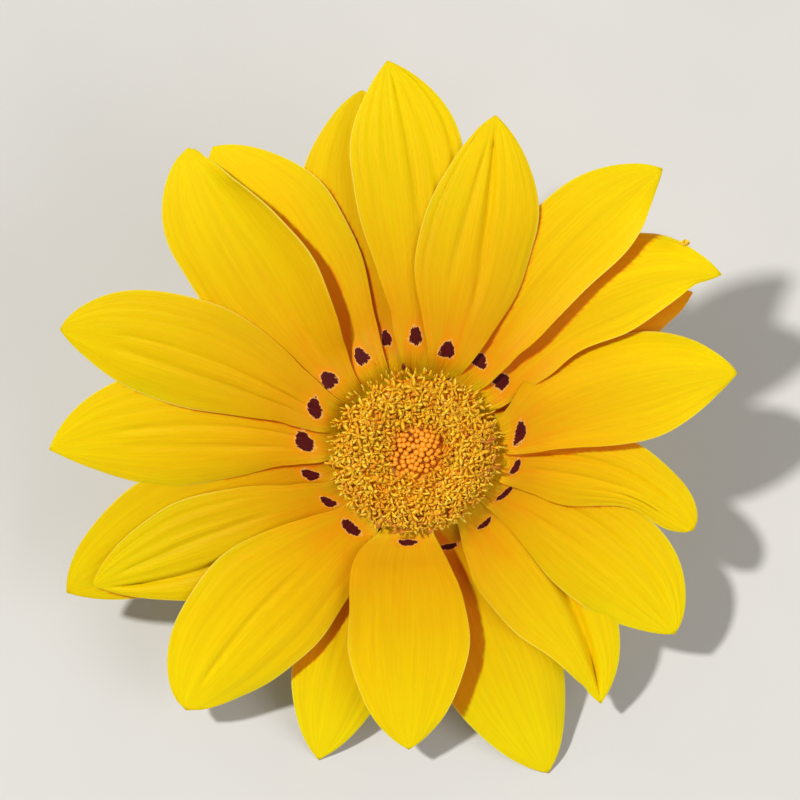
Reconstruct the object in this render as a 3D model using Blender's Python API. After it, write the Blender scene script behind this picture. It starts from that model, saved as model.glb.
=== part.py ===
"""Gazania, one yellow bloom on its own leafless stem, lying as picked.

The bloom is built in its own frame in millimetres: a to the right, b towards
the far edge and h up out of the face. It is then leaned LEAN degrees forward,
so that the tips of two low ray petals and the stem carry it on the surface.
Every length below is in millimetres until it is placed.
"""

import math
import random

import bmesh
import bpy
import numpy as np
from mathutils import Matrix, Vector

MM = 0.001
LEAN = 32.0  # degrees between the bloom's axis and the vertical
CENTRE = Vector((2.15, -8.35, 29.5))  # centre of the face, over the surface

# Ray petals
PETAL_THICK = 0.62
PETAL_ROOT = 8.0
LEVEL_STEP = 0.95  # height between one layer of petals and the next
ACROSS, ALONG = 4, 9  # quads across and along one blade

# Root angle, tip angle and bow (degrees clockwise from the far edge), length,
# half width, widest place (share of the length), tip bluntness, layer, extra
# height of the tip, camber, fold of the clockwise side
PETALS = {
    "t01": (1, -4.8, 3, 45.5, 6.8, 0.74, 0.85, 2.0, 0.0, 0.5, 0.0),
    "t02": (20, 12.7, 0, 40.4, 7.5, 0.66, 0.85, 3.0, 0.0, 0.6, 0.0),
    "t03": (38, 41.5, -9, 43.6, 6.3, 0.68, 0.8, 2.0, 0.0, 0.6, 0.0),
    "t04": (56, 62, -17, 42.0, 6.8, 0.68, 0.8, 1.0, 0.0, 0.5, 0.0),
    "t05": (69, 63, -6, 38.0, 5.2, 0.62, 0.85, -1.0, 0.0, 0.4, 0.0),
    "t06": (86, 78.6, -9, 40.1, 6.6, 0.64, 0.8, 2.4, 0.0, 0.6, 0.0),
    "t07": (104, 109, -12, 37.0, 5.8, 0.7, 0.55, 1.5, 0.0, 0.5, 0.0),
    "t08": (120, 128, -8, 42.7, 6.9, 0.68, 0.72, 0.8, 0.0, 0.5, 0.0),
    "t09": (138, 145.1, -7, 43.5, 6.6, 0.64, 0.85, 0.0, 0.0, 0.5, 1.2),
    "t10": (160, 157.6, 0, 49.2, 7.5, 0.64, 0.8, -1.0, 1.78, 0.4, 0.0),
    "t11": (181, 179, 0, 41.0, 7.4, 0.6, 0.75, 1.0, 0.0, 1.5, 0.0),
    "t12": (197, 193, 0, 45.0, 6.1, 0.67, 0.85, -1.0, -0.75, 0.4, 0.0),
    "t13": (214, 217, 8, 44.6, 8.2, 0.68, 0.62, 2.0, 0.0, 0.7, 0.0),
    "t14": (232, 243, 4, 43.0, 6.2, 0.64, 0.85, 1.0, 0.0, 0.5, 0.0),
    "t15": (251, 243, 2, 46.5, 7.3, 0.66, 0.8, 0.0, 0.0, 0.5, 0.0),
    "t16": (270, 267, 9, 43.5, 7.4, 0.67, 0.88, 1.0, 0.0, 0.5, 0.0),
    "t17": (289, 287, 10, 44.0, 7.0, 0.7, 0.73, 2.0, 0.0, 0.6, 0.0),
    "t18": (306, 322, 0, 44.0, 7.9, 0.75, 0.65, 1.0, 0.0, 0.6, 0.0),
    "t19": (329, 326, 2, 41.6, 7.5, 0.7, 0.7, 0.0, 0.0, 0.5, 0.0),
    "t20": (345, 351, -2, 42.0, 6.7, 0.66, 0.72, -1.0, 0.0, 0.4, 0.0),
}

# Disc of small florets with a cluster of closed buds in its middle
DISC_CORE = [(0.0, -2.6), (6.9, -2.6), (7.1, 0.6), (5.6, 2.6), (3.3, 3.0)]
BUD_WELL = (3.25, 1.4)  # radius and floor height of the well for the buds
FLORETS = 120
FLORET_SIDES = 5
BUDS = 37
BUD_PLUG = [(0.0, 1.7), (2.9, 1.7), (2.9, 2.9), (1.6, 3.35), (0.0, 3.5)]

# Bract cup under the face
CUP = [(0.0, -14.2), (2.3, -14.2), (3.6, -13.6), (5.2, -11.6), (6.2, -8.8)]
CUP += [(6.9, -5.6), (7.3, -3.9), (6.9, -3.3), (0.0, -3.3)]
# Rows of pointed teeth: count, root height, root radius, length, half width, lean
TEETH = (
    (12, -6.4, 6.60, 4.2, 1.25, 48),
    (9, -8.6, 6.05, 3.6, 1.05, 16),
    (6, -11.4, 5.05, 3.0, 0.90, 20),
)

# Stem: a bend below the cup, then a run along the surface
STEM_RADIUS = 1.7
STEM_TOP = -14.5  # height in the bloom's frame
STEM_RUN = ((-0.2, 44.0), (-1.0, 52.0))  # its line, counted from the face's centre

COLOURS = {
    "petals": (0.90, 0.62, 0.005, 1.0),
    "disc_florets": (0.86, 0.46, 0.01, 1.0),
    "disc_buds": (0.80, 0.27, 0.01, 1.0),
    "bract_cup": (0.16, 0.27, 0.05, 1.0),
    "stem": (0.30, 0.42, 0.10, 1.0),
}


def clear():
    for thing in list(bpy.data.objects):
        bpy.data.objects.remove(thing, do_unlink=True)


def polar(radius, degrees):
    """Point of the face at a radius and an angle clockwise from the far edge."""
    angle = math.radians(degrees)
    return np.array((radius * math.sin(angle), radius * math.cos(angle)))


def face_height(radius):
    """Height of a ray petal's midline: out of the collar, over a hump, down."""
    return (
        1.3 * np.exp(-(((radius - 11.2) / 2.0) ** 2))
        - 2.4 * np.exp(-(((radius - PETAL_ROOT) / 1.3) ** 2))
        - 0.1 * (radius - 9.0)
        - 1.6 * (np.maximum(radius - 28.0, 0.0) / 16.0) ** 2
    )


def ramp(x, low, high):
    share = np.clip((x - low) / (high - low), 0.0, 1.0)
    return share * share * (3.0 - 2.0 * share)


def petal_surface(row, u, v):
    """Middle surface of a petal. u runs across from -1 to 1, v from root to tip."""
    root, tip, bow, length, half, widest, blunt, layer, lift, camber, fold = row
    p0, p1 = polar(PETAL_ROOT, root), polar(0.34 * length, root)
    p2, p3 = polar(0.68 * length, root + 0.6 * (tip - root) + bow), polar(length, tip)
    v = np.asarray(v, float)[..., None]
    w = 1.0 - v
    mid = w**3 * p0 + 3 * v * w**2 * p1 + 3 * v**2 * w * p2 + v**3 * p3
    way = w**2 * (p1 - p0) + 2 * v * w * (p2 - p1) + v**2 * (p3 - p2)
    way = way / np.linalg.norm(way, axis=-1, keepdims=True)
    side = np.stack((way[..., 1], -way[..., 0]), axis=-1)
    v = v[..., 0]
    rise = 0.17 + 0.83 * np.sin(0.5 * np.pi * np.minimum(v / widest, 1.0)) ** 1.9
    fall = 1.0 - np.clip((v - widest) / (1.0 - widest), 0.0, 1.0) ** 1.9
    width = half * rise * np.maximum(fall, 0.0) ** blunt
    width = np.maximum(width, 0.35)
    flat = mid + side * (u * width)[..., None]
    radius = np.linalg.norm(mid, axis=-1)
    out = np.clip((radius - 20.0) / (length - 20.0), 0.0, 1.2)
    share = width / half
    height = (
        face_height(radius)
        + LEVEL_STEP * layer * ramp(radius, 8.5, 14.5)
        + lift * out**2.5
        - camber * u * u * share * ramp(radius, 13.0, 24.0)
        + 0.5 * u * u * np.exp(-(((radius - 10.8) / 2.2) ** 2))
        - fold * np.maximum(u - 0.25, 0.0) * share * ramp(radius, 20.0, 32.0)
    )
    return np.concatenate((flat, height[..., None]), axis=-1)


def leaned(point):
    """A point of the bloom's frame, placed over the surface, in metres."""
    turn = Matrix.Rotation(math.radians(LEAN), 3, "X")
    return (CENTRE + turn @ Vector(point)) * MM


def new_object(name, mesh):
    thing = bpy.data.objects.new(name, mesh)
    bpy.context.scene.collection.objects.link(thing)
    return thing


def solid(name, points, faces):
    """Object made of points in the bloom's frame."""
    mesh = bpy.data.meshes.new(name)
    mesh.from_pydata([leaned(p) for p in points], [], faces)
    work = bmesh.new()
    work.from_mesh(mesh)
    bmesh.ops.recalc_face_normals(work, faces=work.faces)
    work.to_mesh(mesh)
    work.free()
    return new_object(name, mesh)


def turned(name, profile, steps, start=0.0):
    """Solid of revolution round the bloom's axis; the profile ends on the axis."""
    rings = [p for p in profile if p[0] > 0.0]
    points, faces = [], []
    for radius, height in rings:
        for k in range(steps):
            angle = math.radians(start) + 2 * math.pi * k / steps
            points.append((radius * math.sin(angle), radius * math.cos(angle), height))
    for i in range(len(rings) - 1):
        for k in range(steps):
            n = (k + 1) % steps
            low, high = i * steps, (i + 1) * steps
            faces.append((low + k, low + n, high + n, high + k))
    last = (len(rings) - 1) * steps
    points += [(0.0, 0.0, rings[0][1]), (0.0, 0.0, profile[-1][1])]
    foot, top = len(points) - 2, len(points) - 1
    for k in range(steps):
        n = (k + 1) % steps
        faces += [(foot, n, k), (top, last + k, last + n)]
    return solid(name, points, faces)


def blade(name, row):
    """Closed petal of even thickness, split alike on both faces."""
    v = np.linspace(0.0, 1.0, ALONG + 1)[:, None] * np.ones((1, ACROSS + 1))
    u = np.linspace(-1.0, 1.0, ACROSS + 1)[None, :] * np.ones((ALONG + 1, 1))
    middle = petal_surface(row, u, v)
    along, across = np.gradient(middle, axis=0), np.gradient(middle, axis=1)
    normal = np.cross(across, along)
    normal /= np.linalg.norm(normal, axis=-1, keepdims=True)
    normal *= np.where(normal[..., 2:] < 0, -1.0, 1.0)
    upper = (middle + 0.5 * PETAL_THICK * normal).reshape(-1, 3)
    lower = (middle - 0.5 * PETAL_THICK * normal).reshape(-1, 3)
    count, wide = len(upper), ACROSS + 1
    faces = []
    for i in range(ALONG):
        for k in range(ACROSS):
            a, b = i * wide + k, i * wide + k + 1
            c, d = a + wide, b + wide
            halves = [(a, b, d), (a, d, c)] if k < ACROSS / 2 else [(a, b, c), (b, d, c)]
            for one in halves:
                faces += [one, tuple(count + j for j in reversed(one))]
    edge = list(range(wide))
    edge += [i * wide + ACROSS for i in range(1, ALONG + 1)]
    edge += [ALONG * wide + k for k in range(ACROSS - 1, -1, -1)]
    edge += [i * wide for i in range(ALONG - 1, 0, -1)]
    for j, p in enumerate(edge):
        q = edge[(j + 1) % len(edge)]
        faces.append((p, q, count + q, count + p))
    return solid(name, list(upper) + list(lower), faces)


def prism(name, foot, tip, low, high, sides, spin=0.0, flat=1.0):
    """Closed tapered prism between two points of the bloom's frame."""
    foot, tip = Vector(foot), Vector(tip)
    axis = (tip - foot).normalized()
    across = axis.orthogonal().normalized()
    across = Matrix.Rotation(spin, 3, axis) @ across
    other = axis.cross(across)
    points, faces = [], []
    for centre, radius in ((foot, low), (tip, high)):
        for k in range(sides):
            angle = 2 * math.pi * k / sides
            arm = across * math.cos(angle) + other * (flat * math.sin(angle))
            points.append(centre + radius * arm)
    for k in range(sides):
        n = (k + 1) % sides
        faces.append((k, n, sides + n, sides + k))
    faces += [tuple(reversed(range(sides))), tuple(range(sides, 2 * sides))]
    return solid(name, points, faces)


def union(base, extras, solver="EXACT"):
    """Join the extras to the base as one body and remove them."""
    group = bpy.data.collections.new(base.name + "_repeats")
    for thing in extras:
        group.objects.link(thing)
        thing.hide_render = True
    step = base.modifiers.new("join", "BOOLEAN")
    step.operation, step.operand_type = "UNION", "COLLECTION"
    step.collection, step.solver = group, solver
    apply_all(base)
    for thing in extras:
        bpy.data.objects.remove(thing, do_unlink=True)
    bpy.data.collections.remove(group)


def apply_all(thing):
    bpy.context.view_layer.update()
    seen = thing.evaluated_get(bpy.context.evaluated_depsgraph_get())
    mesh = bpy.data.meshes.new_from_object(seen)
    thing.modifiers.clear()
    thing.data = mesh


def islands(work):
    """Groups of connected faces."""
    left, groups = set(work.faces), []
    while left:
        group, edge = set(), [left.pop()]
        while edge:
            face = edge.pop()
            group.add(face)
            for side in face.edges:
                for other in side.link_faces:
                    if other in left:
                        left.discard(other)
                        edge.append(other)
        groups.append(group)
    return groups


def volume_of(faces):
    total = 0.0
    for face in faces:
        a, b, c = (v.co for v in face.verts)
        total += a.dot(b.cross(c)) / 6.0
    return total


def tidy(thing, weld=0.0):
    """Fill the pockets closed in between repeats and colour the node."""
    work = bmesh.new()
    work.from_mesh(thing.data)
    if weld:
        bmesh.ops.remove_doubles(work, verts=work.verts, dist=weld)
    bmesh.ops.triangulate(work, faces=work.faces)
    for group in islands(work):
        if volume_of(group) < 0.0:
            bmesh.ops.delete(work, geom=list(group), context="FACES")
    loose = [v for v in work.verts if not v.link_faces]
    bmesh.ops.delete(work, geom=loose, context="VERTS")
    work.to_mesh(thing.data)
    work.free()
    material = bpy.data.materials.new(thing.name)
    material.use_nodes = True
    shader = material.node_tree.nodes["Principled BSDF"]
    shader.inputs["Base Color"].default_value = COLOURS[thing.name]
    shader.inputs["Roughness"].default_value = 0.55
    thing.data.materials.clear()
    thing.data.materials.append(material)


def petals():
    collar = [(7.5, -2.9), (9.0, -2.9), (9.0, -1.7), (7.5, -1.5)]
    steps, points, faces = 40, [], []
    for radius, height in collar:
        for k in range(steps):
            angle = 2 * math.pi * (k + 0.5) / steps
            points.append((radius * math.sin(angle), radius * math.cos(angle), height))
    for i in range(4):
        for k in range(steps):
            n, j = (k + 1) % steps, (i + 1) % 4
            faces.append((i * steps + k, i * steps + n, j * steps + n, j * steps + k))
    ring = solid("petals", points, faces)
    union(ring, [blade(name, row) for name, row in PETALS.items()], "MANIFOLD")
    tidy(ring)


def disc_florets():
    rng = random.Random(7)
    core = turned("disc_florets", DISC_CORE + [(0.0, 3.2)], 36)
    extras = []
    for i in range(FLORETS):
        share = (i + 0.5) / FLORETS
        out = math.sqrt(3.7**2 + (10.0**2 - 3.7**2) * share)
        turn = math.degrees(i * 2.399963)
        height = 4.6 + 1.0 * math.sin(math.pi * min(share * 1.05, 1.0)) - 0.3 * share**4
        height += rng.uniform(-0.35, 0.35)
        foot_out = 3.9 + (6.5 - 3.9) * share
        foot_high = 1.9 - 1.7 * share**2
        a0, b0 = polar(foot_out, turn)
        a1, b1 = polar(out + rng.uniform(-0.15, 0.15), turn + rng.uniform(-2, 2))
        spin = rng.uniform(0.0, 1.2)
        extras.append(
            prism(
                f"floret{i:03d}",
                (a0, b0, foot_high),
                (a1, b1, height),
                0.34,
                0.60,
                FLORET_SIDES,
                spin,
            )
        )
    union(core, extras, "MANIFOLD")
    well = turned("well", [(BUD_WELL[0], BUD_WELL[1]), (BUD_WELL[0], 8.0), (0.0, 8.0)], 28)
    step = core.modifiers.new("well", "BOOLEAN")
    step.operation, step.object, step.solver = "DIFFERENCE", well, "EXACT"
    well.hide_render = True
    apply_all(core)
    bpy.data.objects.remove(well, do_unlink=True)
    tidy(core)


def disc_buds():
    plug = turned("disc_buds", BUD_PLUG, 24)
    extras = []
    for i in range(BUDS):
        out = 2.55 * math.sqrt((i + 0.5) / BUDS)
        a, b = polar(out, math.degrees(i * 2.399963))
        top = 4.15 - 0.05 * out * out
        extras.append(
            prism(f"bud{i:02d}", (a, b, 2.5), (a * 1.04, b * 1.04, top), 0.42, 0.27, 5)
        )
    union(plug, extras)
    tidy(plug)


def bract_cup():
    cup = turned("bract_cup", CUP, 28, 4.5)
    extras = []
    for j, (count, high, out, length, half, lean) in enumerate(TEETH):
        for k in range(count):
            turn = 360.0 * (k + 0.37 * j) / count
            slant = math.radians(lean)
            foot = polar(out - 0.5, turn)
            tip = polar(out + 0.25 + length * math.sin(slant), turn)
            extras.append(
                prism(
                    f"tooth{j}{k:02d}",
                    (foot[0], foot[1], high - 0.6),
                    (tip[0], tip[1], high + length * math.cos(slant)),
                    half,
                    0.22,
                    4,
                    tooth_spin(foot, tip, high, length, slant),
                    0.45,
                )
            )
    union(cup, extras)
    tidy(cup)


def tooth_spin(foot, tip, high, length, slant):
    """Angle that turns a tooth's broad side along the cup's wall."""
    start = Vector((foot[0], foot[1], high - 0.6))
    end = Vector((tip[0], tip[1], high + length * math.cos(slant)))
    axis = (end - start).normalized()
    along = Vector((foot[1], -foot[0], 0.0)).normalized()
    across = axis.orthogonal().normalized()
    return math.atan2(axis.dot(across.cross(along)), across.dot(along))


def stem():
    """Tube with its ends filled: down out of the cup, round a bend and along."""
    top = CENTRE + Matrix.Rotation(math.radians(LEAN), 3, "X") @ Vector((0, 0, STEM_TOP))
    drop = top.z - STEM_RADIUS
    slope = math.radians(90.0 - LEAN)
    bend = drop / (1.0 - math.cos(slope))
    points = []
    for k in range(11):
        angle = slope * (1.0 - k / 10)
        points.append(
            Vector(
                (
                    top.x,
                    top.y + bend * (math.sin(slope) - math.sin(angle)),
                    STEM_RADIUS + bend * (1.0 - math.cos(angle)),
                )
            )
        )
    foot = Vector((CENTRE.x, CENTRE.y, STEM_RADIUS))
    ends = [points[-1]] + [foot + Vector((x, y, 0.0)) for x, y in STEM_RUN]
    before = points[-2]
    for i in range(len(ends) - 1):
        prior = ends[i - 1] if i else before
        after = ends[i + 2] if i + 2 < len(ends) else ends[i + 1] * 2 - ends[i]
        reach = (ends[i + 1] - ends[i]).length
        way_in = (ends[i + 1] - prior).normalized() * reach
        way_out = (after - ends[i]).normalized() * reach
        if i == 0:
            way_in = Vector((0.0, reach, 0.0))
        for k in range(1, 5):
            s = k / 4
            points.append(
                (2 * s**3 - 3 * s**2 + 1) * ends[i]
                + (s**3 - 2 * s**2 + s) * way_in
                + (3 * s**2 - 2 * s**3) * ends[i + 1]
                + (s**3 - s**2) * way_out
            )
    curve = bpy.data.curves.new("stem", "CURVE")
    curve.dimensions = "3D"
    curve.bevel_depth = STEM_RADIUS * MM
    curve.bevel_resolution = 4
    curve.use_fill_caps = True
    line = curve.splines.new("POLY")
    line.points.add(len(points) - 1)
    for one, at in zip(line.points, points):
        one.co = (*(at * MM), 1.0)
    tube = new_object("stem", curve)
    mesh = bpy.data.meshes.new_from_object(tube.evaluated_get(
        bpy.context.evaluated_depsgraph_get()))
    bpy.data.objects.remove(tube, do_unlink=True)
    tidy(new_object("stem", mesh), 0.000002)


def main():
    clear()
    petals()
    disc_florets()
    disc_buds()
    bract_cup()
    stem()


main()
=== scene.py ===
"""Looks of the gazania bloom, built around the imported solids.

Lengths in this file are millimetres until a mesh is made. The bloom has its own
frame, as in the part: a to the right, b towards the far edge, h out of the face.
A bearing is in degrees, clockwise from the far edge. Across a petal, u runs from
-1 at the counterclockwise edge to 1, and v runs from 0 at the root to 1 at the tip.
"""

import math
import random

import bpy
import numpy as np
from mathutils import Matrix, Vector


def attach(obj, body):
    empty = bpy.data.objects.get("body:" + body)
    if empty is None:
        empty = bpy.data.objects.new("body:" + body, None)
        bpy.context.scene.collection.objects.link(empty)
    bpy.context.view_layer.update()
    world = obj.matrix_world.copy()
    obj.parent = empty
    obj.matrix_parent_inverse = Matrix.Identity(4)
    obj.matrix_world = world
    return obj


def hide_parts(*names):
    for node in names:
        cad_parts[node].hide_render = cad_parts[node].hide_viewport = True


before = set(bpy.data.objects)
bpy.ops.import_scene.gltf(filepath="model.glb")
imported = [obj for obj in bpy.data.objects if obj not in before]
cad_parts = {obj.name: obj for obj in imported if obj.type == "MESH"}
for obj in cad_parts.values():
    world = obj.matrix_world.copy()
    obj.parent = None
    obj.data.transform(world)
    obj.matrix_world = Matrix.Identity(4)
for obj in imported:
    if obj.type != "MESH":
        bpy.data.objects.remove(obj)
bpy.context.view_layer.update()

MM = 0.001
GOLDEN_ANGLE = 2.399963  # radians between one floret of a spiral and the next
LEAN = 32.0  # degrees between the bloom's axis and the vertical
CENTRE = np.array((2.15, -8.35, 29.5))  # centre of the face, over the surface
OUT_OF_FACE = np.array((0.0, 0.0, 1.0))

# Ray petals. Their table is the part's, with petals 3, 9, 11, 13 and 19 refined
PETAL_ROOT = 8.0
LEVEL_STEP = 0.95
THICK, EDGE_THICK = 0.30, 0.14
SINK = 0.16  # lowers the thin blades onto the underside of the part's thick ones
HUMP, HUMP_AT, HUMP_SPREAD = 1.3, 11.0, 2.4
DIP, DIP_BEFORE, DIP_SPREAD = 0.5, 0.6, 1.5
SLOPE, SLOPE_FROM = 0.1, 9.0
DROOP, DROOP_FROM, DROOP_RUN = 1.6, 28.0, 16.0
ACROSS, ALONG = 60, 84
CLAW_SPREAD = 0.2  # half width of the claws, as a share of the radius
CLAW_START = -0.06  # the blades start inside the receptacle
UV_SPAN = 50.0  # millimetres of the petal in one unit of the map named size
MARK_AWAY = 50.0  # moves the back of a petal off the dark mark

# Root bearing, tip bearing, bow in degrees, length, half width, widest place
# (share of the length), tip bluntness, layer, extra height of the tip, camber,
# pleat depth
PETALS = {
    "t01": (1, -4.8, 3, 45.5, 6.8, 0.74, 0.85, 2.0, 0.0, 0.5, 0.45),
    "t02": (20, 12.7, 0, 40.4, 7.5, 0.66, 0.85, 3.0, 0.0, 0.6, 0.3),
    "t03": (38, 41.8, -9, 43.9, 6.3, 0.68, 0.8, 2.0, 0.0, 0.6, 0.12),
    "t04": (56, 62, -17, 42.0, 6.8, 0.68, 0.8, 1.0, 0.0, 0.5, 0.12),
    "t05": (69, 63, -6, 38.0, 5.2, 0.62, 0.85, -1.0, 0.0, 0.4, 0.1),
    "t06": (86, 78.6, -9, 40.1, 6.6, 0.64, 0.8, 2.4, 0.0, 0.6, 0.12),
    "t07": (104, 109, -12, 37.0, 5.8, 0.7, 0.55, 1.5, 0.0, 0.5, 0.28),
    "t08": (120, 128, -8, 42.7, 6.9, 0.68, 0.72, 0.8, 0.0, 0.5, 0.22),
    "t09": (138, 145.1, -7, 43.5, 6.6, 0.64, 0.85, 0.3, 0.0, 0.5, 0.2),
    "t10": (160, 157.6, 0, 49.2, 7.5, 0.64, 0.8, -1.0, 1.78, 0.4, 0.2),
    "t11": (181, 179, 0, 40.4, 7.4, 0.6, 0.75, 2.6, 0.0, 0.8, 0.15),
    "t12": (197, 193, 0, 45.0, 6.1, 0.67, 0.85, -1.0, -0.75, 0.4, 0.12),
    "t13": (214, 217, 8, 44.6, 8.2, 0.62, 0.62, 2.0, 0.0, 0.7, 0.2),
    "t14": (232, 243, 4, 43.0, 6.2, 0.64, 0.85, 1.0, 0.0, 0.5, 0.28),
    "t15": (251, 243, 2, 46.5, 7.3, 0.66, 0.8, 0.0, 0.0, 0.5, 0.12),
    "t16": (270, 267, 9, 43.5, 7.4, 0.67, 0.88, 1.0, 0.0, 0.5, 0.12),
    "t17": (289, 287, 10, 44.0, 7.0, 0.7, 0.73, 2.0, 0.0, 0.6, 0.14),
    "t18": (306, 322, 0, 44.0, 7.9, 0.75, 0.65, 1.0, 0.0, 0.6, 0.1),
    "t19": (329, 325.2, 2, 42.3, 7.5, 0.7, 0.8, 0.0, 0.0, 0.5, 0.1),
    "t20": (345, 351, -2, 42.0, 6.7, 0.66, 0.72, -1.0, 0.0, 0.4, 0.12),
}

# Extra height of a petal's two edges, counterclockwise and clockwise
EDGE_LIFT = {
    "t02": (0.0, -0.3),
    "t03": (0.3, 1.7),
    "t04": (-2.6, 1.2),
    "t05": (0.0, -2.0),
    "t06": (-2.0, 1.0),
    "t07": (-0.4, 0.0),
    "t09": (0.0, 1.3),
    "t10": (-1.2, 0.0),
    "t11": (0.6, 0.9),
    "t13": (-0.5, 0.0),
    "t16": (-0.6, 0.0),
    "t18": (0.0, 3.7),
    "t19": (-1.3, 0.0),
}

# Changes of a petal's width: side (-1 counterclockwise), millimetres, and place
# as a share of the length
BULGES = {
    "t02": ((1, -0.5, 0.62), (-1, -1.3, 0.76)),
    "t03": ((1, -1.3, 0.60), (-1, -0.5, 0.62)),
    "t04": ((1, -2.4, 0.55), (1, -1.9, 0.88)),
    "t06": ((-1, 1.7, 0.36), (1, -1.1, 0.45)),
    "t07": ((-1, -0.9, 0.82), (1, -3.2, 0.76)),
    "t09": ((1, 1.5, 0.34), (1, -1.8, 0.82)),
    "t11": ((-1, 0.4, 0.20), (1, 2.8, 0.25)),
    "t13": ((-1, 0.9, 0.25),),
    "t14": ((-1, 0.9, 0.62),),
    "t15": ((1, 0.8, 0.5),),
    "t17": ((1, -0.7, 0.72),),
    "t18": ((1, -2.6, 0.86), (-1, -0.6, 0.75), (1, 0.7, 0.36)),
    "t20": ((-1, 1.3, 0.75),),
}
BULGE_SPREAD = 0.18

# Single creases: place across at the start and at the end, share of the length
# at the start and at the end, depth in millimetres, half width
CREASES = {
    "t01": ((0.10, 0.02, 0.45, 0.97, 0.45, 0.07), (0.45, 0.30, 0.60, 0.95, 0.35, 0.07)),
    "t02": ((0.28, 0.05, 0.30, 0.95, 0.60, 0.08), (-0.35, -0.20, 0.40, 0.90, 0.35, 0.08)),
    "t07": ((-0.40, -0.30, 0.20, 0.90, 0.40, 0.06), (0.15, 0.05, 0.25, 0.80, 0.25, 0.06)),
    "t08": ((-0.45, -0.25, 0.20, 0.90, 0.40, 0.07), (0.20, 0.10, 0.25, 0.95, 0.40, 0.06)),
    "t09": ((-0.45, -0.10, 0.30, 0.97, 1.60, 0.12),),
    "t13": ((0.05, 0.0, 0.35, 0.90, 0.40, 0.05),),
    "t14": ((-0.30, -0.55, 0.40, 0.93, 0.90, 0.09), (0.25, 0.10, 0.35, 0.90, 0.40, 0.08)),
    "t16": ((0.12, 0.05, 0.15, 0.80, 0.35, 0.04), (-0.35, -0.25, 0.2, 0.8, 0.30, 0.06)),
    "t17": ((-0.05, 0.0, 0.15, 0.85, 0.35, 0.05), (-0.45, -0.30, 0.2, 0.85, 0.35, 0.06)),
    "t18": ((0.30, 0.10, 0.2, 0.9, 0.30, 0.06),),
}

# The dark mark of each petal: sideways place, half width, half length, distance
# from the centre, and turn in degrees
MARKS = {
    "t01": (-0.31, 0.77, 1.09, 13.4, 0.0),
    "t02": (-0.5, 0.91, 0.97, 12.5, 0.0),
    "t03": (-0.34, 1.15, 0.74, 12.85, 0.0),
    "t04": (0.06, 0.95, 0.88, 12.8, 0.0),
    "t05": (0.6, 0.45, 0.5, 12.9, 0.0),
    "t06": (0.07, 1.38, 0.60, 12.7, -28.0),
    "t07": (0.29, 1.0, 0.44, 12.6, -22.0),
    "t08": (0.07, 1.23, 0.37, 12.85, -20.0),
    "t09": (0.44, 1.04, 0.39, 13.75, 0.0),
    "t10": (0.27, 1.1, 0.42, 14.6, -12.0),
    "t11": (0.34, 1.09, 0.37, 12.1, 0.0),
    "t12": (0.38, 0.7, 0.47, 11.9, 0.0),
    "t13": (-0.1, 1.37, 0.63, 12.65, 0.0),
    "t14": (-0.06, 1.02, 0.50, 12.4, 38.0),
    "t15": (0.24, 1.10, 0.66, 12.9, 55.0),
    "t16": (-0.13, 1.30, 0.92, 13.0, 45.0),
    "t17": (-0.03, 1.28, 0.75, 12.7, 40.0),
    "t18": (-0.28, 0.94, 0.92, 12.8, 0.0),
    "t19": (-0.06, 0.80, 0.92, 12.35, 0.0),
    "t20": (-0.2, 0.6, 0.8, 12.9, 0.0),
}

# Brightness of a petal's colour, where it isn't 1
TONES = {
    "t01": 0.88,
    "t02": 0.90,
    "t03": 0.95,
    "t10": 0.95,
    "t13": 0.96,
    "t14": 0.86,
    "t15": 0.82,
    "t16": 0.88,
    "t17": 0.83,
    "t18": 0.87,
    "t19": 0.90,
    "t20": 0.87,
}

# Disc: counts, the radii that the open florets' heads and the buds fill, and the
# outlines (radius and height) of what carries them
FLORETS = 250
FLORETS_FROM, FLORETS_TO = 3.3, 9.6
BUDS = 82
BUDS_TO = 3.25
RIM_LOBES = 150
CORE_WALL = [(0.0, -2.7), (7.1, -2.7), (7.5, -1.4), (7.9, 0.0), (8.2, 1.1), (8.0, 1.4), (0.0, 1.4)]
CORE = [(0.0, 1.2), (7.7, 1.2), (8.3, 1.7), (8.3, 2.8), (8.0, 3.6), (7.3, 4.1)]
CORE += [(6.3, 4.4), (5.2, 4.3), (4.3, 3.9), (3.5, 3.5), (0.0, 3.2)]
BUD_BED = [(0.0, 2.2), (3.7, 2.2), (3.8, 3.3), (2.8, 3.75), (0.0, 3.9)]

# Reddish worn lobes at the disc's rim: bearing and count
WORN = ((75, 8), (97, 8), (168, 8), (186, 6), (200, 10))

# Withered dark tips at the disc's far edge: bearing, distance, length
WITHERED = ((-9.0, 9.5, 1.0), (9.5, 9.0, 0.6), (25.0, 8.8, 0.5))

# Bract cup, as in the part
CUP = [(0.0, -14.2), (2.3, -14.2), (3.6, -13.6), (5.2, -11.6), (6.2, -8.8)]
CUP += [(6.9, -5.6), (7.3, -3.9), (6.9, -3.3), (0.0, -3.3)]

# Rings of bract lobes: count, height, distance, length, half width, lean in degrees
TEETH = (
    (16, -5.2, 6.75, 4.6, 1.30, 26),
    (14, -7.4, 6.45, 4.0, 1.10, 40),
    (11, -9.6, 5.75, 3.4, 1.00, 24),
    (8, -11.8, 4.85, 3.0, 0.85, 24),
)
TOOTH_ROOT = 0.8  # length of a lobe inside the cup's wall
CUP_HAIRS = 700

# Stem, as in the part
STEM_RADIUS = 1.7
STEM_TOP = -14.5
STEM_RUN = ((-0.2, 44.0), (-1.0, 52.0))
STEM_SIDES = 60
STEM_HAIRS = 420
HAIR_CLEARANCE = 0.12
PITH = ((1.42, -0.3), (1.30, 0.03), (1.0, 0.05), (0.55, 0.02), (0.25, -0.06))  # radius, height

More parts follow.
